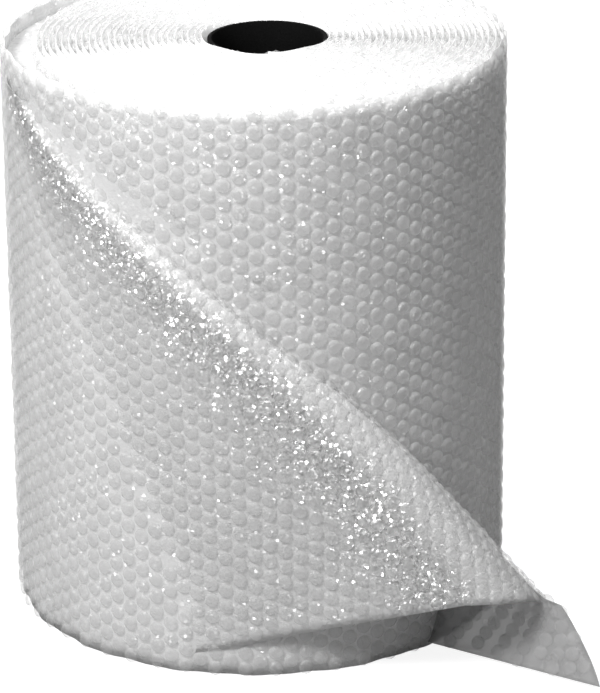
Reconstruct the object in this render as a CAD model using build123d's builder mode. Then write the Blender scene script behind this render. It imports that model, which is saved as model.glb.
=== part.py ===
"""Roll of air-bubble cushioning film that stands on its end, on a board core tube.

The roll's axis is Z and its lower end is the plane Z = 0. The origin is on the axis of the core.
The front of the roll faces -Y. Millimetres and degrees.
"""
import math
import os
from itertools import pairwise

from build123d import *

# The film and its turns
film_width = 400.0
film_thickness = 4.0
turn_count = 10
turn_relief = 4.5
tight_radius = 158.0

# The furrows between columns of bubbles, one for two columns, where the outer turn is open to view
furrow_count = 52
furrow_width = 7.0
furrow_depth = 3.0
furrow_lead = 0.3
furrow_margin = 45.0

# The slack outer turn, which stands off the tight roll on the left and nearly touches it on the right
slack_shift = 9.5
slack_clearance = 0.5
slack_depth = 14.0

# The core tube
core_bore = 76.2
core_wall = 2.9
core_clearance = 0.2
core_recess = 3.0

# The fold of the loose end: its crest runs down the front from the upper left to the lower right
crest_start_arc = -205.0
crest_start_drop = 15.0
crest_start_slope = 0.42
crest_end_arc = 165.0
crest_end_height = 82.0
curl_start_radius = 5.0
curl_end_radius = 37.0
curl_start_turn = 70.0
curl_end_turn = 80.0
turn_from = 0.25
turn_over = 0.5

# The front layer, which lifts away from the roll as it nears the crest
front_start_length = 60.0
front_end_length = 215.0
front_start_lift = 3.0
front_end_lift = 18.0
edge_rise = 54.0
edge_bow = 0.25
edge_root = 2.5

# The end of the film, which comes down behind the crest and lies on the floor
tip_beyond_side = 51.0
tip_beyond_front = 25.0
floor_gap = 1.0
hem_angle = 43.0
hem_share = 0.2
tuck_from = 0.3
tuck_depth = 6.0
foot_start_reach = 26.0
foot_end_reach = 42.0
foot_lead = Vector(0.5, -0.5, 0.4)
hem_lead = Vector(-0.15, 0.7, 0.6)
leave_grip = 0.32
finish_grip = 0.45

row_count = 13
points_front = 6
points_curl = 7
points_back = 6

hole_radius = core_bore / 2 + core_wall + core_clearance
turn_pitch = (tight_radius - hole_radius) / turn_count
outer_radius = tight_radius + slack_clearance + film_thickness + slack_shift
furrow_pitch = 2 * math.pi * outer_radius / furrow_count


def ease(share):
    """Smooth step from 0 to 1."""
    share = min(1.0, max(0.0, share))
    return share * share * (3 - 2 * share)


def between(start, end, share):
    """Value at a share of the way from start to end."""
    return start + (end - start) * share


def on_wrap(arc, out, height):
    """Point at an arc length from the roll's front: round its left side, straight on to the right."""
    radius = outer_radius + out
    if arc <= 0:
        angle = arc / outer_radius
        return Vector(radius * math.sin(angle) - slack_shift, -radius * math.cos(angle), height)
    return Vector(arc - slack_shift, -radius, height)


def on_roll(arc, out, height):
    """Point at an arc length from the roll's front, on the round of the roll."""
    angle = arc / outer_radius
    radius = outer_radius + out
    return Vector(radius * math.sin(angle) - slack_shift, -radius * math.cos(angle), height)


def crest(arc):
    """Height of the fold's crest at an arc length from the roll's front, and how steeply it falls there."""
    span = crest_end_arc - crest_start_arc
    start_height = film_width - crest_start_drop
    bend = (start_height - crest_start_slope * span - crest_end_height) / span**2
    run = arc - crest_start_arc
    return start_height - crest_start_slope * run - bend * run**2, crest_start_slope + 2 * bend * run


def furrow_foot(arc):
    """Height where a furrow starts: above the fold on the roll's front, or at the floor all round the back."""
    if arc < crest_start_arc:
        return film_width
    if arc > crest_end_arc + furrow_margin:
        return 0.0
    return crest(arc)[0] + furrow_margin


def loose_end_row(share):
    """Points of the outer face along one row of the loose end, from the roll, over the crest, to the end.

    Share 0 is the upper left end of the fold and share 1 is the lower edge of the film.
    """
    crest_arc = between(crest_start_arc, crest_end_arc, share)
    crest_height, slope = crest(crest_arc)
    along = 1 / math.hypot(1, slope)
    down = slope * along

    curl = between(curl_start_radius, curl_end_radius, share)
    root_arc = crest_arc - down * curl
    root_height = crest_height - along * curl
    lift = between(front_start_lift, front_end_lift, share)
    rise = edge_rise * share**3
    length = between(front_start_length, front_end_length, share)

    row = []
    for i in range(points_front):
        u = i / points_front
        out = between(-edge_root, lift, ease(u))
        climb = rise * ((1 + edge_bow) * u - edge_bow * u * u - 1)
        row.append(on_wrap(root_arc - length * (1 - u), out, root_height + climb))

    turn = math.radians(between(curl_start_turn, curl_end_turn, ease((share - turn_from) / turn_over)))
    for i in range(points_curl + 1):
        a = turn * i / points_curl
        arc = root_arc + down * curl * math.sin(a) + along * curl * a / slope
        height = root_height + along * curl * (math.sin(a) - a)
        row.append(on_wrap(arc, lift - curl * (1 - math.cos(a)), height))

    leave = row[-1]
    heading = (row[-1] - row[-2]).normalized()
    tip = Vector(outer_radius - slack_shift + tip_beyond_side, -outer_radius - tip_beyond_front, floor_gap)
    hem_arc = outer_radius * math.radians(hem_angle)
    rim = on_roll(hem_arc, -tuck_depth, floor_gap)
    tucked = ease((share - tuck_from) / (1 - tuck_from - hem_share))
    if share >= 1 - hem_share:
        finish = tip + (rim - tip) * ((1 - share) / hem_share)
    else:
        reach = between(foot_start_reach, foot_end_reach, share)
        foot_arc = crest_arc + down * reach
        foot_height = crest_height + along * reach / 2
        arc = between(foot_arc, hem_arc, tucked)
        finish = on_roll(arc, -tuck_depth, between(foot_height, floor_gap, tucked))
    lead = foot_lead * (1 - tucked) + hem_lead * tucked
    distance = (finish - leave).length
    first = leave + heading * (leave_grip * distance)
    second = finish + lead * (finish_grip * distance)
    first.Z = max(first.Z, floor_gap)
    for i in range(1, points_back + 1):
        t = i / points_back
        row.append(
            leave * (1 - t) ** 3
            + first * (3 * t * (1 - t) ** 2)
            + second * (3 * t * t * (1 - t))
            + finish * t**3
        )
    return row


def inner_rows(rows):
    """Rows of the inner face, one film thickness under the rows of the outer face."""
    inner = []
    for i, row in enumerate(rows):
        above = rows[max(i - 1, 0)]
        below = rows[min(i + 1, len(rows) - 1)]
        points = []
        for j, point in enumerate(row):
            onward = row[min(j + 1, len(row) - 1)] - row[max(j - 1, 0)]
            outward = onward.cross(above[j] - below[j]).normalized()
            points.append(point - outward * film_thickness)
        inner.append(points)
    return inner


def strip(first, second):
    """Ruled patches between two lines of points."""
    patches = []
    for (a, b), (c, d) in zip(pairwise(first), pairwise(second)):
        patches.append(Face.make_surface_from_curves(Edge.make_line(a, b), Edge.make_line(c, d)))
    return patches


def sheet_solid(outer):
    """Solid of a sheet whose outer face follows rows of points."""
    inner = inner_rows(outer)
    faces = []
    for layer in (outer, inner):
        for upper, lower in pairwise(layer):
            faces += strip(upper, lower)
    for end in (0, -1):
        faces += strip(outer[end], inner[end])
        faces += strip([row[end] for row in outer], [row[end] for row in inner])
    return Solid(Shell(faces))


def half_roll_section(first_valley):
    """Points of the section of half the tight roll, with a ridge for the edge of each turn at the upper end."""
    valley = first_valley
    points = [(valley, 0), (valley, film_width - turn_relief)]
    for _ in range(turn_count + 1):
        points.append((valley + turn_pitch / 2, film_width))
        valley += turn_pitch
        points.append((valley, film_width - turn_relief))
    return points + [(valley, 0)]


# Loose end of the film, trimmed where it meets the middle of the slack turn's wall
loose_end = sheet_solid([loose_end_row(i / (row_count - 1)) for i in range(row_count)])
loose_end -= Pos(-slack_shift, 0, film_width / 2) * Cylinder(outer_radius - film_thickness / 2, 2 * film_width)

with BuildPart() as bubble_film:
    # Tight roll: the two halves have their own centres, so each turn runs on into the next one
    for centre, first_valley, arc in (
        (-turn_pitch / 4, hole_radius - 3 * turn_pitch / 4, 180),
        (turn_pitch / 4, hole_radius - 5 * turn_pitch / 4, -180),
    ):
        with BuildSketch(Plane((centre, 0, 0), x_dir=(1, 0, 0), z_dir=(0, -1, 0))):
            with BuildLine():
                Polyline(*half_roll_section(first_valley), close=True)
            make_face()
        revolve(axis=Axis((centre, 0, 0), (0, 0, 1)), revolution_arc=arc)
    # Slack turn: a wall of one film layer, set off the tight roll, with the gap closed further in
    with BuildSketch(Plane.XY.offset(slack_depth)):
        with Locations((-slack_shift, 0)):
            Circle(outer_radius - film_thickness / 2)
    extrude(amount=film_width - 2 * slack_depth)
    with BuildSketch():
        with Locations((-slack_shift, 0)):
            Circle(outer_radius)
            Circle(outer_radius - film_thickness, mode=Mode.SUBTRACT)
    extrude(amount=film_width)
    # Furrows between the columns of bubbles
    first_arc = crest_start_arc - front_start_length - furrow_width
    for i in range(furrow_count):
        arc = first_arc + (i + 0.5) * furrow_pitch
        foot = furrow_foot(arc)
        if foot < film_width - furrow_margin:
            with BuildSketch(Plane.XY.offset(foot)):
                with BuildLine():
                    Polyline(
                        on_roll(arc - furrow_width / 2, furrow_lead, 0),
                        on_roll(arc, -furrow_depth, 0),
                        on_roll(arc + furrow_width / 2, furrow_lead, 0),
                        close=True,
                    )
                make_face()
    extrude(amount=film_width, mode=Mode.SUBTRACT)
    # Room for the core
    with BuildSketch():
        Circle(hole_radius)
    extrude(amount=film_width, mode=Mode.SUBTRACT)
    add(loose_end)

with BuildPart() as core_tube:
    with BuildSketch():
        Circle(core_bore / 2 + core_wall)
        Circle(core_bore / 2, mode=Mode.SUBTRACT)
    extrude(amount=film_width - core_recess)

os.makedirs("parts", exist_ok=True)
bubble_film.part.label = "bubble_film"
export_step(bubble_film.part, "parts/bubble_film.step")
core_tube.part.label = "core_tube"
export_step(core_tube.part, "parts/core_tube.step")
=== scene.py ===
"""Roll of air-bubble film on a board core: outer turn, wound turns, folded loose end, core and studio."""
import logging
import math
import random
from bisect import bisect_right
from collections.abc import Callable
from dataclasses import dataclass, field
from enum import Enum

import bmesh
import bpy
from bmesh.types import BMEdge, BMesh, BMVert
from bpy.types import ID, Material, Node, NodeSocket, Object, SolidifyModifier, World
from mathutils import Matrix, Vector


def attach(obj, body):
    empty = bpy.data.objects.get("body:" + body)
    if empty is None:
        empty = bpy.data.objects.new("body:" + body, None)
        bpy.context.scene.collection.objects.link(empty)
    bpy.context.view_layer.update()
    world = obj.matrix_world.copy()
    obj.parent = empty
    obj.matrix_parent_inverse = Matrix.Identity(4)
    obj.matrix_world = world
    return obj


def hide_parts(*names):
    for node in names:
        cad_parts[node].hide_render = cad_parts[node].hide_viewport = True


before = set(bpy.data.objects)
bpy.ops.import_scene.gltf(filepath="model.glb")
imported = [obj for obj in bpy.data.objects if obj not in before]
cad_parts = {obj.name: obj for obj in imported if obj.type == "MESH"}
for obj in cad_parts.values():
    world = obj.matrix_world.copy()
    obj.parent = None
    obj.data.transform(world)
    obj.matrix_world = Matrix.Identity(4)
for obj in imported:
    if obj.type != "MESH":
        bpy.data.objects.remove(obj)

LOG = logging.getLogger("bubble_film_roll")
IMAGE_WIDTH = 600
WHITE = (1, 1, 1, 1)
UP = Vector((0, 0, 1))

# Vertex attributes that the film's finish reads: where film is seen through, a bubble's crown (where the
# finish paints shade), and crinkles
BUBBLE = "bubble"
CROWN = "crown"
SHINE = "shine"


class Slot(Enum):
    """Material slots of the record."""

    FILM = "film"
    BOARD = "board"


class End(Enum):
    """The two ends of the roll."""

    UPPER = "upper"
    LOWER = "lower"


class Side(Enum):
    """The two halves of the outer turn."""

    FRONT = "front"
    BACK = "back"


def ease(share: float) -> float:
    """Smooth step from 0 to 1."""
    share = min(1.0, max(0.0, share))
    return share * share * (3 - 2 * share)


def between(start: float, end: float, share: float) -> float:
    """Value at a share of the way from start to end."""
    return start + (end - start) * share


def swung(first: Vector, second: Vector, angle: float) -> tuple[Vector, Vector]:
    """Two directions at right angles, turned in their plane so that the first nears the second."""
    c = math.cos(angle)
    s = math.sin(angle)
    return first * c + second * s, second * c - first * s


def everything(bm: BMesh) -> list:
    """All vertices, edges and faces of a mesh."""
    return list(bm.verts) + list(bm.edges) + list(bm.faces)


def repeat(bm: BMesh, step: Vector, count: int) -> None:
    """Copy a whole mesh along a straight line, a step apart, until there are count of it."""
    turn = {"cent": (0, 0, 0), "axis": UP, "angle": 0.0}
    bmesh.ops.spin(bm, geom=everything(bm), dvec=step, steps=count - 1, use_duplicate=True, **turn)


def ring(bm: BMesh, segments: int, radius: float) -> list[BMEdge]:
    """Add an open ring round the origin to an empty mesh, and give its edges."""
    bmesh.ops.create_circle(bm, segments=segments, radius=radius)
    return list(bm.edges)


def extruded(bm: BMesh, edges: list[BMEdge]) -> tuple[list, list]:
    """Extrude edges in place, and give the new edges and the new vertices."""
    made = bmesh.ops.extrude_edge_only(bm, edges=edges)["geom"]
    new_edges = [g for g in made if isinstance(g, BMEdge)]
    new_verts = [g for g in made if isinstance(g, BMVert)]
    return new_edges, new_verts


def placed(name: str, data: ID, matrix: Matrix | None = None) -> Object:
    """Add data to the scene as an object."""
    obj = bpy.data.objects.new(name, data)
    obj.matrix_world = matrix or Matrix()
    bpy.context.scene.collection.objects.link(obj)
    return obj


def meshed(bm: BMesh, name: str, material: Material) -> Object:
    """Make a mesh a smooth-shaded object, and free it."""
    mesh = bpy.data.meshes.new(name)
    bm.to_mesh(mesh)
    bm.free()
    mesh.shade_smooth()
    mesh.materials.append(material)
    return placed(name, mesh)


def piece(bm: BMesh, name: str, material: Material, slot: Slot, node: str) -> Object:
    """Make a mesh a piece that stands for a node.

    Args:
        bm: Mesh of the piece, which is freed.
        name: Name of the piece.
        material: Its material.
        slot: Slot of the record; not used.
        node: Node that it stands for.

    Returns:
        The new object.
    """
    obj = meshed(bm, name, material)
    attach(obj, "root")
    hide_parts(node)
    LOG.info("%s: %d faces", name, len(obj.data.polygons))
    return obj


def film_piece(bm: BMesh, name: str, material: Material) -> Object:
    """Make a mesh a piece of the film."""
    return piece(bm, name, material, Slot.FILM, "bubble_film")


def thicken(obj: Object, thickness: float) -> SolidifyModifier:
    """Give a film its thickness, on its inner side."""
    thick = obj.modifiers.new("Film", "SOLIDIFY")
    thick.thickness = thickness
    thick.offset = -1
    return thick


class Nodes:
    """Node tree of one material or world, with short calls to add and join nodes."""

    def __init__(self, owner: Material | World) -> None:
        """Start with an empty tree."""
        owner.use_nodes = True
        self.tree = owner.node_tree
        self.tree.nodes.clear()

    def add(self, kind: str, settings: dict | None = None, **sockets: object) -> Node:
        """Add a node.

        Args:
            kind: Type name of the node.
            settings: Values of the node's own properties.
            **sockets: Input values or output sockets by socket name, with _ for a space.

        Returns:
            The new node.
        """
        node = self.tree.nodes.new(kind)
        for key, value in (settings or {}).items():
            setattr(node, key, value)
        for key, value in sockets.items():
            self.put(node.inputs[key.replace("_", " ")], value)
        return node

    def put(self, socket: NodeSocket, value: object) -> None:
        """Set a socket to a value, or join it to an output socket."""
        if isinstance(value, NodeSocket):
            self.tree.links.new(value, socket)
        else:
            socket.default_value = value

    def fill(self, node: Node, first: int, *values: object) -> None:
        """Set or join a node's inputs in order, from the first one given."""
        for i, value in enumerate(values):
            self.put(node.inputs[first + i], value)

    def number(self, operation: str, *values: object, kind: str = "ShaderNodeMath") -> NodeSocket:
        """Result of a sum on numbers or sockets."""
        node = self.add(kind, {"operation": operation})
        self.fill(node, 0, *values)
        return node.outputs[0]

    def vector(self, operation: str, *values: object) -> NodeSocket:
        """Result of a sum on vectors or sockets."""
        return self.number(operation, *values, kind="ShaderNodeVectorMath")

    def times(self, first: NodeSocket, second: NodeSocket) -> NodeSocket:
        """Product of two colours. A Mix node's colours are its inputs 6 and 7 and its output 2."""
        node = self.add("ShaderNodeMix", {"data_type": "RGBA", "blend_type": "MULTIPLY"}, Factor=1.0)
        self.fill(node, 6, first, second)
        return node.outputs[2]

    def blend(self, share: object, first: Node, second: Node) -> Node:
        """Shader that is a share of the way from a first to a second one."""
        node = self.add("ShaderNodeMixShader", Fac=share)
        self.fill(node, 1, first.outputs[0], second.outputs[0])
        return node

    def noise(self, scale: float, detail: float, **sockets: object) -> NodeSocket:
        """Noise that is fixed to the object."""
        node = self.add("ShaderNodeTexNoise", Vector=self.place(), Scale=scale, Detail=detail, **sockets)
        return node.outputs["Fac"]

    def place(self) -> NodeSocket:
        """Place on the object."""
        return self.add("ShaderNodeTexCoord").outputs["Object"]

    def attribute(self, name: str) -> NodeSocket:
        """Value of a vertex attribute."""
        return self.add("ShaderNodeAttribute", {"attribute_name": name}).outputs["Fac"]

    def seen(self) -> NodeSocket:
        """1 for what the camera sees, straight or through film, and 0 for the rest."""
        path = self.add("ShaderNodeLightPath").outputs
        return self.number("MAXIMUM", path["Is Camera Ray"], path["Is Transmission Ray"])

    def ramp(self, factor: NodeSocket, stops: list[tuple[float, float]]) -> NodeSocket:
        """Colour of a factor by grey stops, each with its position and its grey."""
        node = self.add("ShaderNodeValToRGB", Fac=factor)
        elements = node.color_ramp.elements
        while len(elements) < len(stops):
            elements.new(0.5)
        for element, (position, grey) in zip(elements, stops):
            element.position = position
            element.color = (grey, grey, grey, 1)
        return node.outputs["Color"]


@dataclass(frozen=True)
class FilmFinish:
    """Clear polyethylene film: glossy, finely wrinkled, and letting part of the light through.

    Attributes:
        name: Name of the material.
        dark: Grey of the film's darker patches.
        pale: Grey of its paler patches.
        smooth: Roughness of the smoothest patches.
        rough: Roughness of the dullest patches.
        through: Share of light that passes into and through the film.
        clear: Share of a bubble that is seen through.
        crown_shade: Painted shade on a bubble's crown: the grey that the crown's colour is multiplied by,
            standing for the shaded inside of the bubble seen through it.
        gloss: Strength of the film's mirror-like reflection.
        wrinkle: Height of the fine wrinkles, in metres.
        wrinkle_scale: Wrinkles per metre.
        patch_scale: Darker and paler patches per metre.
        dull_scale: Smooth and dull patches per metre.
        facets: Flat crinkles per metre.
        facet_lean: How far the crinkles lean.
        facet_roughness: Roughness of a crinkle.
        glint: Share of light that crinkles throw back as glints.
        fold_glint: Further share where the film is folded.
    """

    name: str
    dark: float = 0.80
    pale: float = 0.86
    smooth: float = 0.16
    rough: float = 0.34
    through: float = 0.20
    clear: float = 0.74
    crown_shade: float = 0.86
    gloss: float = 0.8
    wrinkle: float = 0.0005
    wrinkle_scale: float = 420.0
    patch_scale: float = 45.0
    dull_scale: float = 260.0
    facets: float = 560.0
    facet_lean: float = 1.3
    facet_roughness: float = 0.30
    glint: float = 0.08
    fold_glint: float = 0.70

    def material(self) -> Material:
        """Build the material."""
        material = bpy.data.materials.new(self.name)
        desk = Nodes(material)
        tone = desk.ramp(desk.noise(self.patch_scale, 3.0), [(0.35, self.dark), (0.65, self.pale)])
        # Painted shade: a bubble's crown is painted darker, standing for its shaded inside seen through the
        # clear film
        crown_shade = desk.ramp(desk.attribute(CROWN), [(0.0, 1.0), (1.0, self.crown_shade)])
        grey = desk.times(tone, crown_shade)
        dull = desk.ramp(desk.noise(self.dull_scale, 2.0), [(0.38, self.smooth), (0.66, self.rough)])
        crease = desk.noise(self.wrinkle_scale, 3.0, Roughness=0.6, Distortion=0.8)
        bump = desk.add("ShaderNodeBump", Strength=1.0, Distance=self.wrinkle, Height=crease)
        normal = bump.outputs["Normal"]
        film = desk.add("ShaderNodeBsdfPrincipled", Base_Color=grey, Roughness=dull, IOR=1.5, Normal=normal)
        film.inputs["Specular IOR Level"].default_value = self.gloss
        inside = desk.add("ShaderNodeBsdfTranslucent", Color=grey, Normal=normal)
        body = desk.blend(self.through, film, inside)
        share = desk.number("MULTIPLY_ADD", desk.attribute(SHINE), self.fold_glint, self.glint)
        both = desk.blend(share, body, self.crinkles(desk))
        window = desk.add("ShaderNodeBsdfTransparent", Color=(0.97, 0.97, 0.97, 1))
        whole = desk.blend(desk.number("MULTIPLY", desk.attribute(BUBBLE), self.clear), both, window)
        desk.add("ShaderNodeOutputMaterial", Surface=whole.outputs[0])
        return material

    def crinkles(self, desk: Nodes) -> Node:
        """Shader of the flat crinkles, each of which leans its own way."""
        cell = desk.add("ShaderNodeTexVoronoi", Vector=desk.place(), Scale=self.facets).outputs["Color"]
        lean = self.facet_lean
        tilt = desk.vector("MULTIPLY_ADD", cell, (lean, lean, lean), (-lean / 2, -lean / 2, -lean / 2))
        flat = desk.add("ShaderNodeNewGeometry").outputs["Normal"]
        facet = desk.vector("NORMALIZE", desk.vector("ADD", tilt, flat))
        return desk.add("ShaderNodeBsdfGlossy", Color=WHITE, Roughness=self.facet_roughness, Normal=facet)


@dataclass(frozen=True)
class BoardFinish:
    """Dark grey board, spirally wound, with seams and fibres, coloured almost black: part its own dark grey
    and part painted shade of the deep hole.

    Attributes:
        name: Name of the material.
        dark: Grey of the darker fibres, deepened to near black as painted shade of the hole.
        pale: Grey of the paler fibres, deepened the same way.
        lead: Height that a seam climbs in one turn, in metres.
        seam: Half the width of a seam, as a share of its lead.
        fibre_scale: Fibres per metre.
        patch_scale: Worn patches per metre.
        relief: Height of the seams and fibres, in metres.
    """

    name: str
    dark: float = 0.002
    pale: float = 0.005
    lead: float = 0.11
    seam: float = 0.012
    fibre_scale: float = 900.0
    patch_scale: float = 40.0
    relief: float = 0.0003

    def material(self) -> Material:
        """Build the material."""
        material = bpy.data.materials.new(self.name)
        desk = Nodes(material)
        fibre = desk.noise(self.fibre_scale, 4.0)
        split = desk.add("ShaderNodeSeparateXYZ", Vector=desk.place()).outputs
        turn = desk.number("DIVIDE", desk.number("ARCTAN2", split["Y"], split["X"]), math.tau)
        climb = desk.number("DIVIDE", split["Z"], self.lead)
        phase = desk.number("FRACT", desk.number("SUBTRACT", climb, turn))
        seam = desk.ramp(phase, [(0.0, 0.0), (self.seam, 1.0), (1 - self.seam, 1.0), (1.0, 0.0)])
        tone = desk.ramp(fibre, [(0.3, self.dark), (0.7, self.pale)])
        worn = desk.ramp(desk.noise(self.patch_scale, 2.0), [(0.3, 0.75), (0.7, 1.0)])
        grey = desk.times(tone, worn)
        height = desk.number("ADD", seam, fibre)
        bump = desk.add("ShaderNodeBump", Strength=0.6, Distance=self.relief, Height=height)
        normal = bump.outputs["Normal"]
        board = desk.add("ShaderNodeBsdfPrincipled", Base_Color=grey, Roughness=0.9, Normal=normal)
        board.inputs["Specular IOR Level"].default_value = 0.1
        desk.add("ShaderNodeOutputMaterial", Surface=board.outputs["BSDF"])
        return material


@dataclass(frozen=True)
class FloorFinish:
    """Pale floor that the camera sees as white where it is lit and that keeps the shadow.

    Attributes:
        name: Name of the material.
        grey: Grey of the floor.
        glow: Light added to what the camera sees.
    """

    name: str
    grey: float = 0.3
    glow: float = 0.88

    def material(self) -> Material:
        """Build the material."""
        material = bpy.data.materials.new(self.name)
        desk = Nodes(material)
        paint = desk.add("ShaderNodeBsdfDiffuse", Color=(self.grey, self.grey, self.grey, 1))
        strength = desk.number("MULTIPLY", desk.seen(), self.glow)
        glow = desk.add("ShaderNodeEmission", Color=WHITE, Strength=strength)
        both = desk.add("ShaderNodeAddShader")
        desk.fill(both, 0, paint.outputs[0], glow.outputs[0])
        desk.add("ShaderNodeOutputMaterial", Surface=both.outputs[0])
        return material


@dataclass
class RollForm:
    """Sizes of the wound roll, in metres, shared by all the pieces of film."""

    width: float = 0.400
    outer_radius: float = 0.172
    slack_shift: float = 0.0095
    slack_depth: float = 0.014
    tight_radius: float = 0.158
    hole_radius: float = 0.0412
    bubble_height: float = 0.0028
    film: float = 0.0006

    def around(self, arc: float, out: float, height: float) -> Vector:
        """Point on the round of the roll.

        Args:
            arc: Length round the outer turn from the roll's front, to the right.
            out: Distance outwards from the outer turn.
            height: Height above the floor.

        Returns:
            The point.
        """
        angle = arc / self.outer_radius
        radius = self.outer_radius + out
        return Vector((radius * math.sin(angle) - self.slack_shift, -radius * math.cos(angle), height))

    def wrapped(self, arc: float, out: float, height: float) -> Vector:
        """Point round the roll's left side, or straight on to the right of its front."""
        if arc <= 0:
            return self.around(arc, out, height)
        return Vector((arc - self.slack_shift, -self.outer_radius - out, height))


@dataclass
class Place:
    """Where one bubble stands: its middle, its two directions in the film, and the way that it points."""

    middle: Vector
    along: Vector
    across: Vector
    outward: Vector

    def lay(self, offset: Vector) -> Vector:
        """Point of the bubble from its flat offset."""
        return self.middle + self.along * offset.x + self.across * offset.y + self.outward * offset.z


@dataclass
class BubbleLattice:
    """Bubbles of the film, in columns across the film that are set half a pitch apart by turns."""

    form: RollForm
    columns: int = 104
    pitch: float = 0.012
    margin: float = 0.0048
    radius: float = 0.0052
    sides: int = 10
    # Size of each ring, its rise above the ring below, and how far it belongs to the crown
    rings: tuple[tuple[float, float, float], ...] = ((0.93, 0.55, 0.0), (0.84, 0.33, 0.6), (0.60, 0.12, 1.0))
    lean: float = 0.05
    swell: float = 0.93
    swell_spread: float = 0.06
    seed_step: int = 101

    @property
    def step(self) -> float:
        """Distance from one column to the next."""
        return math.tau * self.form.outer_radius / self.columns

    @property
    def count(self) -> int:
        """Bubbles in one column."""
        return int((self.form.width - 2 * self.margin) / self.pitch) + 1

    def dome(self, height: float) -> BMesh:
        """Mesh of one bubble of a given height at the origin, with its open base at height 0."""
        bm = bmesh.new()
        made = bmesh.ops.create_circle(bm, cap_ends=True, segments=self.sides, radius=self.radius)["verts"]
        top = made[0].link_faces[0]
        crown = bm.verts.layers.float.new(CROWN)
        bubble = bm.verts.layers.float.new(BUBBLE)
        for size, rise, flat in self.rings:
            top = bmesh.ops.extrude_discrete_faces(bm, faces=[top])["faces"][0]
            bmesh.ops.translate(bm, verts=list(top.verts), vec=(0, 0, rise * height))
            bmesh.ops.scale(bm, verts=list(top.verts), vec=(size, size, 1))
            for v in top.verts:
                v[crown] = flat
        for v in bm.verts:
            v[bubble] = 1.0
        return bm

    def flat(self, first: int, last: int, height: float) -> BMesh:
        """Flat bubbles from an even column to a last one, with the film's length on X and width on Y."""
        bm = self.dome(height)
        bmesh.ops.translate(bm, verts=bm.verts, vec=(first * self.step, self.form.width - self.margin, 0))
        repeat(bm, Vector((self.step, -self.pitch / 2, 0)), 2)
        repeat(bm, Vector((0, -self.pitch, 0)), self.count)
        repeat(bm, Vector((2 * self.step, 0, 0)), (last - first) // 2 + 1)
        return bm

    def nearest(self, spot: Vector) -> tuple[int, int, Vector]:
        """Column, number in the column and flat middle of the bubble nearest to a flat spot."""
        column = round(spot.x / self.step)
        top = self.form.width - self.margin - (self.pitch / 2 if column % 2 else 0.0)
        number = round((top - spot.y) / self.pitch)
        return column, number, Vector((column * self.step, top - number * self.pitch, 0))

    def uneven(self, column: int, number: int, spot: Place) -> Place:
        """Place of a bubble that leans and swells a little in its own way, from its regular place."""
        dice = random.Random(column % self.columns * self.seed_step + number)
        tip = Matrix.Rotation(dice.gauss(0, self.lean), 3, spot.along)
        lean = tip @ Matrix.Rotation(dice.gauss(0, self.lean), 3, spot.across)
        swell = min(1.0, dice.gauss(self.swell, self.swell_spread))
        return Place(spot.middle, lean @ spot.along, lean @ spot.across, lean @ spot.outward * swell)

    def carry(self, bm: BMesh, seat: Callable[[int, int, Vector], Place | None]) -> None:
        """Carry flat bubbles to their places, and take away those that have none.

        Args:
            bm: Mesh of the flat bubbles.
            seat: Gives a bubble's place from its column, its number in the column and its flat middle.
        """
        places: dict[tuple[int, int], Place | None] = {}
        spare = []
        for v in bm.verts:
            column, number, middle = self.nearest(v.co)
            key = (column, number)
            if key not in places:
                places[key] = seat(column, number, middle)
            spot = places[key]
            if spot is None:
                spare.append(v)
            else:
                v.co = spot.lay(v.co - middle)
        bmesh.ops.delete(bm, geom=spare, context="VERTS")


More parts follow.
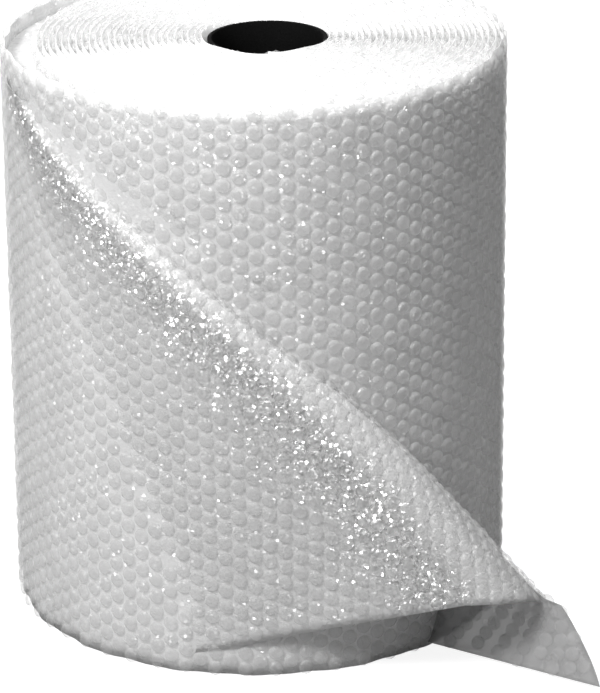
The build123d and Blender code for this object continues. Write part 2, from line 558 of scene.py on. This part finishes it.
@dataclass
class LooseEnd:
    """The loose end of the film: it leaves the roll, folds over a slanting crest and reaches the floor."""

    form: RollForm
    lattice: BubbleLattice
    # Crest of the fold, and the curl over it
    crest_start_arc: float = -0.205
    crest_start_drop: float = 0.015
    crest_start_slope: float = 0.42
    crest_end_arc: float = 0.165
    crest_end_height: float = 0.082
    curl_start_radius: float = 0.005
    curl_end_radius: float = 0.037
    curl_start_turn: float = math.radians(70)
    curl_end_turn: float = math.radians(80)
    turn_from: float = 0.25
    turn_over: float = 0.5
    # Front layer, which lifts off the roll
    front_start_length: float = 0.060
    front_end_length: float = 0.215
    front_start_lift: float = 0.003
    front_end_lift: float = 0.018
    edge_rise: float = 0.054
    edge_bow: float = 0.25
    edge_root: float = 0.0018
    cover_gap: float = 0.007
    # Back layer, which lands on the roll or reaches the floor in a tip
    tip_beyond_side: float = 0.055
    tip_beyond_front: float = 0.025
    floor_gap: float = 0.001
    hem_angle: float = math.radians(43)
    hem_share: float = 0.2
    tuck_from: float = 0.5
    tuck_depth: float = 0.006
    rim_gap: float = 0.006
    foot_start_reach: float = 0.042
    foot_end_reach: float = 0.050
    foot_depth: float = 0.0015
    landing_share: float = 0.5
    hem_lead: Vector = field(default_factory=lambda: Vector((-0.15, 0.7, 0.6)))
    leave_grip: float = 0.24
    finish_grip: float = 0.45
    # Fineness of the mesh
    points_front: int = 40
    points_curl: int = 24
    points_back: int = 28
    rows: int = 96
    stops: int = 120
    # Bubbles, crinkles and the part that is seen through
    bubble_grip: float = 0.9
    base_height: float = 0.0005
    crinkle_before: float = 0.072
    crinkle_after: float = 0.030
    tip_clear: float = 0.45
    tip_from: float = 0.72
    tip_over: float = 0.15
    clear_from: float = 0.038
    clear_over: float = 0.025

    def __post_init__(self) -> None:
        """Work out the rows of the bubbles' crowns, and of the film under the bubbles."""
        self.heights: list[float] = []
        self.starts: list[float] = []
        self.lengths: list[float] = []
        self.crowns: list[list[Vector]] = []
        for i in range(self.rows + 1):
            start, height, points = self.row(i / self.rows)
            length, even = self.spaced(points)
            self.starts.append(start)
            self.heights.append(height)
            self.lengths.append(length)
            self.crowns.append(even)
        self.film = [
            [self.crowns[i][j] - self.normal(i, j) * self.form.bubble_height for j in range(self.stops + 1)]
            for i in range(self.rows + 1)
        ]

    def crest(self, share: float) -> tuple[float, float, float]:
        """Arc and height of the crest at a share of its run, and how steeply it falls there."""
        span = self.crest_end_arc - self.crest_start_arc
        start_height = self.form.width - self.crest_start_drop
        bend = (start_height - self.crest_start_slope * span - self.crest_end_height) / span**2
        run = span * share
        height = start_height - self.crest_start_slope * run - bend * run**2
        return self.crest_start_arc + run, height, self.crest_start_slope + 2 * bend * run

    def row(self, share: float) -> tuple[float, float, list[Vector]]:
        """One row of the loose end, from the roll, over the crest, to the end of the film.

        Args:
            share: 0 at the upper left end of the fold, 1 at the lower edge of the film.

        Returns:
            Arc and height where the row leaves the roll, and the row's points.
        """
        crest_arc, crest_height, slope = self.crest(share)
        along = 1 / math.hypot(1, slope)
        down = slope * along
        curl = between(self.curl_start_radius, self.curl_end_radius, share)
        root_arc = crest_arc - down * curl
        root_height = crest_height - along * curl
        lift = between(self.front_start_lift, self.front_end_lift, share)
        rise = self.edge_rise * share**3
        length = between(self.front_start_length, self.front_end_length, share)

        points = []
        for i in range(self.points_front):
            u = i / self.points_front
            out = between(-self.edge_root, lift, ease(u))
            climb = rise * (self.edge_climb(u) - 1)
            points.append(self.form.wrapped(root_arc - length * (1 - u), out, root_height + climb))
        turned = ease((share - self.turn_from) / self.turn_over)
        turn = between(self.curl_start_turn, self.curl_end_turn, turned)
        for i in range(self.points_curl + 1):
            a = turn * i / self.points_curl
            arc = root_arc + down * curl * math.sin(a) + along * curl * a / slope
            height = root_height + along * curl * (math.sin(a) - a)
            points.append(self.form.wrapped(arc, lift - curl * (1 - math.cos(a)), height))
        points += self.back(share, points[-2], points[-1])
        return root_arc - length, root_height - rise, points

    def back(self, share: float, before: Vector, leave: Vector) -> list[Vector]:
        """Points of a row behind the crest, down to the roll or to the floor.

        Args:
            share: The row's share, as in row.
            before: Last point but one of the curl.
            leave: Last point of the curl.

        Returns:
            The points, without the last one of the curl.
        """
        form = self.form
        crest_arc, crest_height, slope = self.crest(share)
        along = 1 / math.hypot(1, slope)
        reach = between(self.foot_start_reach, self.foot_end_reach, share)
        tucked = ease((share - self.tuck_from) / (1 - self.tuck_from - self.hem_share))
        hem_arc = form.outer_radius * self.hem_angle
        arc = between(crest_arc + slope * along * reach, hem_arc, tucked)
        foot = min(crest_height + along * reach / 2, form.width - self.rim_gap)
        height = between(foot, self.floor_gap, tucked)
        finish = form.around(arc, -between(self.foot_depth, self.tuck_depth, tucked), height)
        if share > 1 - self.hem_share:
            tip_x = form.outer_radius - form.slack_shift + self.tip_beyond_side
            tip = Vector((tip_x, -form.outer_radius - self.tip_beyond_front, self.floor_gap))
            finish = tip + (finish - tip) * ((1 - share) / self.hem_share)
        landing_height = between(height, crest_height, self.landing_share)
        landing = form.around(between(arc, crest_arc, self.landing_share), 0, landing_height)

        distance = (finish - leave).length
        first = leave + (leave - before).normalized() * (self.leave_grip * distance)
        first.z = max(first.z, self.floor_gap)
        second = landing.lerp(finish + self.hem_lead * (self.finish_grip * distance), tucked)
        points = []
        for i in range(1, self.points_back + 1):
            t = i / self.points_back
            ends = leave * (1 - t) ** 3 + finish * t**3
            points.append(ends + first * (3 * t * (1 - t) ** 2) + second * (3 * t * t * (1 - t)))
        return points

    def edge_climb(self, share: float) -> float:
        """Share of its rise that a row has climbed at a share of the front layer."""
        return (1 + self.edge_bow) * share - self.edge_bow * share**2

    def spaced(self, points: list[Vector]) -> tuple[float, list[Vector]]:
        """Length of a line of points, and points at even steps along it."""
        marks = [0.0]
        for a, b in zip(points, points[1:]):
            marks.append(marks[-1] + (b - a).length)
        even = []
        for j in range(self.stops + 1):
            want = marks[-1] * j / self.stops
            k = min(max(bisect_right(marks, want) - 1, 0), len(points) - 2)
            part = (want - marks[k]) / max(marks[k + 1] - marks[k], 1e-9)
            even.append(points[k].lerp(points[k + 1], part))
        return marks[-1], even

    def normal(self, i: int, j: int) -> Vector:
        """Outward direction of the film at a row and a stop."""
        row = self.crowns[i]
        onward = row[min(j + 1, self.stops)] - row[max(j - 1, 0)]
        upward = self.crowns[max(i - 1, 0)][j] - self.crowns[min(i + 1, self.rows)][j]
        return onward.cross(upward).normalized()

    def at(self, row: float, stop: float) -> Vector:
        """Point of the film at a row and a stop, both in parts of a step."""
        row = min(max(row, 0.0), self.rows)
        stop = min(max(stop, 0.0), self.stops)
        i = min(int(row), self.rows - 1)
        j = min(int(stop), self.stops - 1)
        upper = self.film[i][j].lerp(self.film[i][j + 1], stop - j)
        lower = self.film[i + 1][j].lerp(self.film[i + 1][j + 1], stop - j)
        return upper.lerp(lower, row - i)

    def front(self, row: float) -> float:
        """Length of the front layer along a row."""
        return between(self.front_start_length, self.front_end_length, row / self.rows)

    def past(self, row: float, stop: float) -> float:
        """How far past the front layer a stop of a row is, along the film."""
        i = min(int(row), self.rows - 1)
        length = between(self.lengths[i], self.lengths[i + 1], row - i)
        return stop / self.stops * length - self.front(row)

    def shine(self, row: float, stop: float) -> float:
        """How crinkled the film is at a row and a stop: most just before the crest, none far from it."""
        past = self.past(row, stop)
        return ease(1 + past / self.crinkle_before) if past < 0 else ease(1 - past / self.crinkle_after)

    def clearness(self, row: float, stop: float) -> float:
        """How far the film is seen through at a row and a stop: only past the crest, near the tip."""
        near_tip = ease((row / self.rows - self.tip_from) / self.tip_over)
        past_crest = ease((self.past(row, stop) - self.clear_from) / self.clear_over)
        return self.tip_clear * near_tip * past_crest

    def stand_off(self, row: float, stop: float) -> float:
        """How far the front layer stands off the outer turn at a row and a stop."""
        lift = between(self.front_start_lift, self.front_end_lift, row / self.rows)
        return between(-self.edge_root, lift, ease(1 + self.past(row, stop) / self.front(row)))

    def covers(self, spot: Vector) -> bool:
        """Whether the loose end lies close over a bubble of the outer turn."""
        place = self.found(spot)
        beside = spot.x - self.starts[-1]
        edge = self.heights[-1] + self.edge_rise * self.edge_climb(beside / self.front_end_length)
        if place is None or (beside > 0 and spot.y < edge):
            return False
        return 0 < self.stand_off(*place) < self.cover_gap

    def found(self, spot: Vector) -> tuple[float, float] | None:
        """Row and stop of a flat spot of the film, or None where the loose end doesn't reach it."""
        if not self.heights[-1] <= spot.y <= self.heights[0]:
            return None
        k = next(k for k in range(self.rows) if self.heights[k + 1] <= spot.y)
        part = (self.heights[k] - spot.y) / (self.heights[k] - self.heights[k + 1])
        start = between(self.starts[k], self.starts[k + 1], part)
        length = between(self.lengths[k], self.lengths[k + 1], part)
        stop = (spot.x - start) / length * self.stops
        if not 0 <= stop <= self.stops:
            return None
        return k + part, stop

    def sheet(self, material: Material, inside: Material) -> Object:
        """Build the film of the loose end, with one material outside and, inside, a far darker copy of the
        film that paints the shade on its inner face.
        """
        bm = bmesh.new()
        bmesh.ops.create_grid(bm, x_segments=self.stops, y_segments=self.rows, size=0.5)
        shine = bm.verts.layers.float.new(SHINE)
        bubble = bm.verts.layers.float.new(BUBBLE)
        for v in bm.verts:
            row = (0.5 - v.co.y) * self.rows
            stop = (v.co.x + 0.5) * self.stops
            v[shine] = self.shine(row, stop)
            v[bubble] = self.clearness(row, stop)
            v.co = self.at(row, stop)
        bm.normal_update()
        obj = film_piece(bm, "loose_end", material)
        obj.data.materials.append(inside)
        thicken(obj, self.form.film).material_offset = 1
        return obj

    def flat_bubbles(self, height: float) -> BMesh:
        """Flat bubbles over the whole length of the loose end."""
        first = 2 * math.floor(min(self.starts) / self.lattice.step / 2)
        last = math.ceil(max(a + b for a, b in zip(self.starts, self.lengths)) / self.lattice.step)
        return self.lattice.flat(first, last, height)

    def bubbles(self, material: Material) -> Object:
        """Build the bubbles on the outside of the loose end."""
        bm = self.flat_bubbles(self.form.bubble_height)
        shine = bm.verts.layers.float.new(SHINE)
        for v in bm.verts:
            place = self.found(self.lattice.nearest(v.co)[2])
            if place:
                v[shine] = self.shine(*place)

        def seat(column: int, number: int, middle: Vector) -> Place | None:
            """Uneven place of a bubble, where the film has room for it."""
            regular = self.bubble_place(middle)
            return regular and self.lattice.uneven(column, number, regular)

        self.lattice.carry(bm, seat)
        return film_piece(bm, "loose_end_bubbles", material)

    def bases(self, material: Material) -> Object:
        """Build the round bases of the bubbles, which show on the inside of the film past the crest."""
        bm = self.flat_bubbles(-self.base_height)
        bmesh.ops.reverse_faces(bm, faces=bm.faces)
        bmesh.ops.translate(bm, verts=bm.verts, vec=(0, 0, -self.form.film))

        def seat(column: int, number: int, middle: Vector) -> Place | None:
            """Regular place of a base, where the film is seen through."""
            place = self.found(middle)
            if place is None or self.clearness(*place) <= 0:
                return None
            return self.bubble_place(middle)

        self.lattice.carry(bm, seat)
        return film_piece(bm, "loose_end_bases", material)

    def bubble_place(self, middle: Vector) -> Place | None:
        """Place of a bubble by its flat middle, or None where it would cross an edge of the film."""
        reach = self.bubble_grip * self.lattice.radius
        beside = Vector((reach, 0, 0))
        above = Vector((0, reach, 0))
        spots = [self.found(middle + way) for way in (-beside, beside, -above, above)]
        if any(spot is None for spot in spots):
            return None
        place = self.found(middle)
        if self.stand_off(*place) <= 0:
            return None
        left, right, lower, upper = (self.at(*spot) for spot in spots)
        along = (right - left).normalized()
        outward = along.cross(upper - lower).normalized()
        return Place(self.at(*place), along, outward.cross(along), outward)


@dataclass
class OuterTurn:
    """The slack outer turn: a thin wall of film with bubbles all over its outside."""

    form: RollForm
    lattice: BubbleLattice
    levels: int = 40
    floor_gap: float = 0.0004
    top_gap: float = 0.0005
    edge_reach: float = 0.012
    edge_sway: float = 0.0009
    edge_dip: float = 0.0004

    @property
    def base(self) -> float:
        """Radius of the film between its bubbles."""
        return self.form.outer_radius - self.form.bubble_height

    def wall(self, material: Material) -> Object:
        """Build the wall of film, with edges that wave a little."""
        bm = bmesh.new()
        width = self.form.width
        columns = self.lattice.columns
        edges = ring(bm, 2 * columns, self.base)
        for _ in range(self.levels):
            edges, risen = extruded(bm, edges)
            bmesh.ops.translate(bm, verts=risen, vec=(0, 0, width / self.levels))
        for v in bm.verts:
            angle = math.atan2(v.co.y, v.co.x)
            near = math.exp(-min(v.co.z, width - v.co.z) / self.edge_reach)
            # Two uneven waves, and one with a crest for each column of bubbles
            wave = math.sin(17 * angle) + 0.6 * math.sin(41 * angle + 1.3) + 0.5 * math.sin(columns * angle)
            v.co.xy *= 1 - near * self.edge_sway * (1.2 + wave) / self.base
            dip = near * self.edge_dip * (1 + math.sin(29 * angle + 0.4))
            v.co.z = min(max(v.co.z, self.floor_gap), width - self.top_gap - dip)
            v.co.x -= self.form.slack_shift
        bmesh.ops.recalc_face_normals(bm, faces=bm.faces)
        obj = film_piece(bm, "outer_turn_wall", material)
        thicken(obj, self.form.film)
        return obj

    def bubbles(self, side: Side, loose: LooseEnd, material: Material) -> Object:
        """Build the bubbles of one half of the outer turn, without those under the loose end."""
        quarter = self.lattice.columns // 4
        first = -quarter if side is Side.FRONT else quarter
        bm = self.lattice.flat(first, first + 2 * quarter - 1, self.form.bubble_height)

        def seat(column: int, number: int, middle: Vector) -> Place | None:
            """Uneven place of a bubble, where the loose end doesn't cover it."""
            if loose.covers(middle):
                return None
            root = self.form.around(middle.x, -self.form.bubble_height, middle.y)
            outward = (self.form.around(middle.x, 0, middle.y) - root).normalized()
            return self.lattice.uneven(column, number, Place(root, UP.cross(outward), UP, outward))

        self.lattice.carry(bm, seat)
        return film_piece(bm, f"{side.value}_bubbles", material)


@dataclass
class WoundTurns:
    """The tight turns, seen at an end of the roll as the cut edge of one long spiral of film."""

    form: RollForm
    end: End
    turns: int = 26
    depth: float = 0.013
    rows: int = 104
    play: float = 0.0004
    sway: float = 0.00028
    edge_drop: float = 0.0004
    edge_wave: float = 0.0005
    bubble_radius: float = 0.0049
    bubble_sides: int = 8
    bubble_play: float = 0.0009
    bubble_block: int = 40
    bubble_seed: int = 7
    web_gap: float = 0.0001
    web_rise: float = 0.002
    web_rings: tuple[float, ...] = (0.075, 0.110, 0.140)
    web_radius: float = 0.1684

    @property
    def growth(self) -> float:
        """Distance from one turn to the next."""
        return (self.form.tight_radius - self.play - self.form.hole_radius) / self.turns

    @property
    def length(self) -> float:
        """Length of the wound film."""
        return math.pi * self.turns * (self.radius(0) + self.radius(math.tau * self.turns))

    def radius(self, angle: float) -> float:
        """Radius of the film at an angle of the winding."""
        return self.form.hole_radius + self.play + self.growth * angle / math.tau

    def angle(self, length: float) -> float:
        """Angle of the winding at a length of film."""
        start = self.radius(0)
        return (math.sqrt(start**2 + self.growth * length / math.pi) - start) * math.tau / self.growth

    def level(self, depth: float) -> float:
        """Height at a depth in from the end of the roll."""
        return self.form.width - depth if self.end is End.UPPER else depth

    def spiral(self, material: Material) -> Object:
        """Build the edge of the film: two faces and the narrow cut edge between them."""
        bm = bmesh.new()
        bmesh.ops.create_grid(bm, x_segments=self.turns * self.rows, y_segments=3, size=0.5)
        for v in bm.verts:
            angle = (v.co.x + 0.5) * self.turns * math.tau
            corner = round((v.co.y + 0.5) * 3)
            # Two uneven waves, and a finer one of 52 crests in a turn
            wave = math.sin(angle * 3.37) + 0.7 * math.sin(angle * 11.13) + 0.6 * math.sin(angle * 52.0)
            half_film = self.form.film / 2 if corner < 2 else -self.form.film / 2
            radius = self.radius(angle) + self.sway * wave + half_film
            dip = 1 + math.sin(angle * 5.71 + 2 * math.sin(angle * 0.83))
            drop = self.edge_drop + self.edge_wave * dip
            if corner in (0, 3):
                drop = self.depth
            v.co = Vector((radius * math.sin(angle), -radius * math.cos(angle), self.level(drop)))
        bmesh.ops.recalc_face_normals(bm, faces=bm.faces)
        return film_piece(bm, f"{self.end.value}_turns", material)

    def bubbles(self, material: Material) -> Object:
        """Build the bubbles between the turns."""
        small = BubbleLattice(self.form, radius=self.bubble_radius, sides=self.bubble_sides)
        count = int(self.length / small.step)
        bm = small.dome(self.growth - self.bubble_play)
        repeat(bm, Vector((small.step, 0, 0)), self.bubble_block)
        repeat(bm, Vector((self.bubble_block * small.step, 0, 0)), math.ceil(count / self.bubble_block))
        extra = [v for v in bm.verts if round(v.co.x / small.step) >= count]
        bmesh.ops.delete(bm, geom=extra, context="VERTS")
        up = UP if self.end is End.UPPER else -UP
        places: dict[int, Place] = {}
        for v in bm.verts:
            number = round(v.co.x / small.step)
            if number not in places:
                angle = self.angle((number + 0.5) * small.step)
                outward = Vector((math.sin(angle), -math.cos(angle), 0))
                middle = outward * (self.radius(angle) + self.form.film / 2)
                middle.z = self.level(small.margin + (small.pitch / 2 if number % 2 else 0.0))
                regular = Place(middle, up.cross(outward), up, outward)
                places[number] = small.uneven(number, self.bubble_seed, regular)
            v.co = places[number].lay(v.co - Vector((number * small.step, 0, 0)))
        return film_piece(bm, f"{self.end.value}_turn_bubbles", material)

    def web(self, material: Material) -> Object:
        """Build the film that is seen deep between the turns."""
        bm = bmesh.new()
        edges = ring(bm, self.rows, self.form.hole_radius + self.web_gap)
        for radius in (*self.web_rings, self.web_radius):
            edges, verts = extruded(bm, edges)
            shift = self.form.slack_shift if radius == self.web_radius else 0.0
            for v in verts:
                v.co.xy = v.co.xy.normalized() * radius
                v.co.x -= shift
        for v in bm.verts:
            v.co.z = self.level(self.form.slack_depth - self.web_rise)
        bmesh.ops.recalc_face_normals(bm, faces=bm.faces)
        faces = list(bm.faces)
        if (faces[0].normal.z > 0) != (self.end is End.UPPER):
            bmesh.ops.reverse_faces(bm, faces=faces)
        return film_piece(bm, f"{self.end.value}_web", material)


@dataclass
class CoreTube:
    """The board tube that the film is wound on."""

    bore: float = 0.0381
    wall: float = 0.0029
    length: float = 0.397
    rim: float = 0.0004
    levels: int = 24
    steps: int = 128
    near: float = 0.0005

    def build(self, material: Material) -> Object:
        """Build the tube by spinning the outline of its wall, with softened rims."""
        bm = bmesh.new()
        wall = bmesh.ops.create_grid(bm, x_segments=1, y_segments=self.levels, size=0.5)["verts"]
        bmesh.ops.scale(bm, verts=wall, vec=(self.wall, self.length, 1))
        bmesh.ops.rotate(bm, verts=wall, cent=(0, 0, 0), matrix=Matrix.Rotation(math.pi / 2, 3, "X"))
        bmesh.ops.translate(bm, verts=wall, vec=(self.bore + self.wall / 2, 0, self.length / 2))
        bmesh.ops.delete(bm, geom=list(bm.faces), context="FACES_ONLY")
        across = [e for e in bm.edges if abs(e.verts[0].co.z - e.verts[1].co.z) < self.near]
        inner = [e for e in across if self.near < e.verts[0].co.z < self.length - self.near]
        bmesh.ops.delete(bm, geom=inner, context="EDGES")
        rims = [v for v in bm.verts if v.co.z < self.near or v.co.z > self.length - self.near]
        bmesh.ops.bevel(
            bm, geom=rims, offset=self.rim, affect="VERTICES", segments=2, profile=0.5, material=-1,
        )
        turn = {"cent": (0, 0, 0), "axis": UP, "angle": math.tau}
        bmesh.ops.spin(bm, geom=everything(bm), steps=self.steps, use_merge=True, **turn)
        bmesh.ops.remove_doubles(bm, verts=bm.verts, dist=1e-6)
        bmesh.ops.recalc_face_normals(bm, faces=bm.faces)
        return piece(bm, "core_board", material, Slot.BOARD, "core_tube")


@dataclass
class Studio:
    """Floor, lamps and the camera at the photograph's place."""

    focal: float = 3931.09
    distance: float = 2.73265
    aim: Vector = field(default_factory=lambda: Vector((0, 0, 0.2)))
    elevation: float = math.radians(20.231)
    pan: float = math.radians(0.418)
    tilt: float = math.radians(0.539)
    roll: float = math.radians(0.665)
    floor_size: float = 14.0
    even_light: float = 0.12

    def camera(self) -> None:
        """Set up the camera."""
        ahead = Vector((0, math.cos(self.elevation), -math.sin(self.elevation)))
        eye = self.aim - ahead * self.distance
        right = Vector((1, 0, 0))
        down = ahead.cross(right)
        ahead, right = swung(ahead, right, self.pan)
        ahead, down = swung(ahead, down, self.tilt)
        right, down = swung(right, down, self.roll)
        data = bpy.data.cameras.new("Camera")
        data.sensor_fit = "HORIZONTAL"
        data.sensor_width = 36.0
        data.lens = data.sensor_width * self.focal / IMAGE_WIDTH
        data.clip_end = 50.0
        turn = Matrix((right, -down, -ahead)).transposed().to_4x4()
        bpy.context.scene.camera = placed("Camera", data, Matrix.Translation(eye) @ turn)

    def lamp(self, name: str, place: Vector, size: float, power: float) -> None:
        """Add a soft square lamp of some watts that faces the roll."""
        data = bpy.data.lights.new(name, "AREA")
        data.size = size
        data.energy = power
        facing = (self.aim - place).to_track_quat("-Z", "Y")
        placed(name, data, Matrix.Translation(place) @ facing.to_matrix().to_4x4())

    def floor(self, material: Material) -> None:
        """Lay the floor."""
        bm = bmesh.new()
        bmesh.ops.create_grid(bm, x_segments=4, y_segments=4, size=self.floor_size / 2)
        obj = meshed(bm, "floor", material)

    def world(self) -> None:
        """Light the surroundings evenly, and show them white to the camera."""
        world = bpy.data.worlds.new("Studio")
        bpy.context.scene.world = world
        desk = Nodes(world)
        soft = desk.add("ShaderNodeBackground", Color=WHITE, Strength=self.even_light)
        white = desk.add("ShaderNodeBackground", Color=WHITE, Strength=1.0)
        whole = desk.blend(desk.seen(), soft, white)
        desk.add("ShaderNodeOutputWorld", Surface=whole.outputs[0])

    def build(self) -> None:
        """Set up the whole studio."""
        self.camera()
        self.floor(FloorFinish("floor_paint").material())
        self.world()
        self.lamp("overhead", Vector((0.2, -0.3, 2.3)), size=0.25, power=30)
        self.lamp("back_fill", Vector((-1.0, 2.6, 1.4)), size=1.2, power=16)
        self.lamp("left_front", Vector((-1.25, -1.54, 2.18)), size=0.7, power=85)


def main() -> None:
    """Build the roll and its studio, and note the sizes."""
    logging.basicConfig(level=logging.INFO)
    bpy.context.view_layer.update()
    form = RollForm()
    lattice = BubbleLattice(form)
    wound = FilmFinish("wound_film").material()
    # Painted light: the cut ends take a paler copy of the wound film, which lightens the shade between the
    # turns and whitens the end faces
    ends = FilmFinish(
        "painted_light_turn_film", dark=0.88, pale=0.94, smooth=0.25, rough=0.45, through=0.35, crown_shade=0.94, gloss=0.5
    ).material()
    single = FilmFinish(
        "single_film", dark=0.83, pale=0.89, smooth=0.10, rough=0.26, through=0.25, crown_shade=0.88,
        wrinkle=0.0009, wrinkle_scale=380.0,
    ).material()
    plain = {"through": 0.30, "crown_shade": 1.0, "wrinkle": 0.0003, "wrinkle_scale": 120.0, "glint": 0.0}
    # Painted shade: the film's inner face is the same film painted far darker, for the shade inside the fold
    # and on the tip
    inside = FilmFinish(
        "painted_shade_film_inside", dark=0.14, pale=0.18, smooth=0.35, rough=0.50, gloss=0.15, **plain
    ).material()
    # Painted shade: the bubbles' bases are a darker copy of the film, toned to the painted shade on the
    # loose end's inner face
    base = FilmFinish(
        "shaded_bubble_base", dark=0.60, pale=0.66, smooth=0.30, rough=0.45, gloss=0.3, **plain
    ).material()
    board = BoardFinish("core_board").material()

    outer = OuterTurn(form, lattice)
    loose = LooseEnd(form, lattice)
    outer.wall(wound)
    for side in Side:
        outer.bubbles(side, loose, wound)
    for end in End:
        turns = WoundTurns(form, end)
        turns.spiral(ends)
        turns.bubbles(ends)
        turns.web(ends)
    film = loose.sheet(single, inside)
    bubbles = loose.bubbles(single)
    bases = loose.bases(base)
    flat = sum(loose.lengths) / len(loose.lengths) * (loose.heights[0] - loose.heights[-1])
    LOG.info("loose end: flat area %.4f, longest row %.3f", flat, max(loose.lengths))
    max(loose.lengths)
    CoreTube().build(board)
    Studio().build()
    bpy.context.scene.view_settings.view_transform = "Standard"


if __name__ == "__main__":
    main()
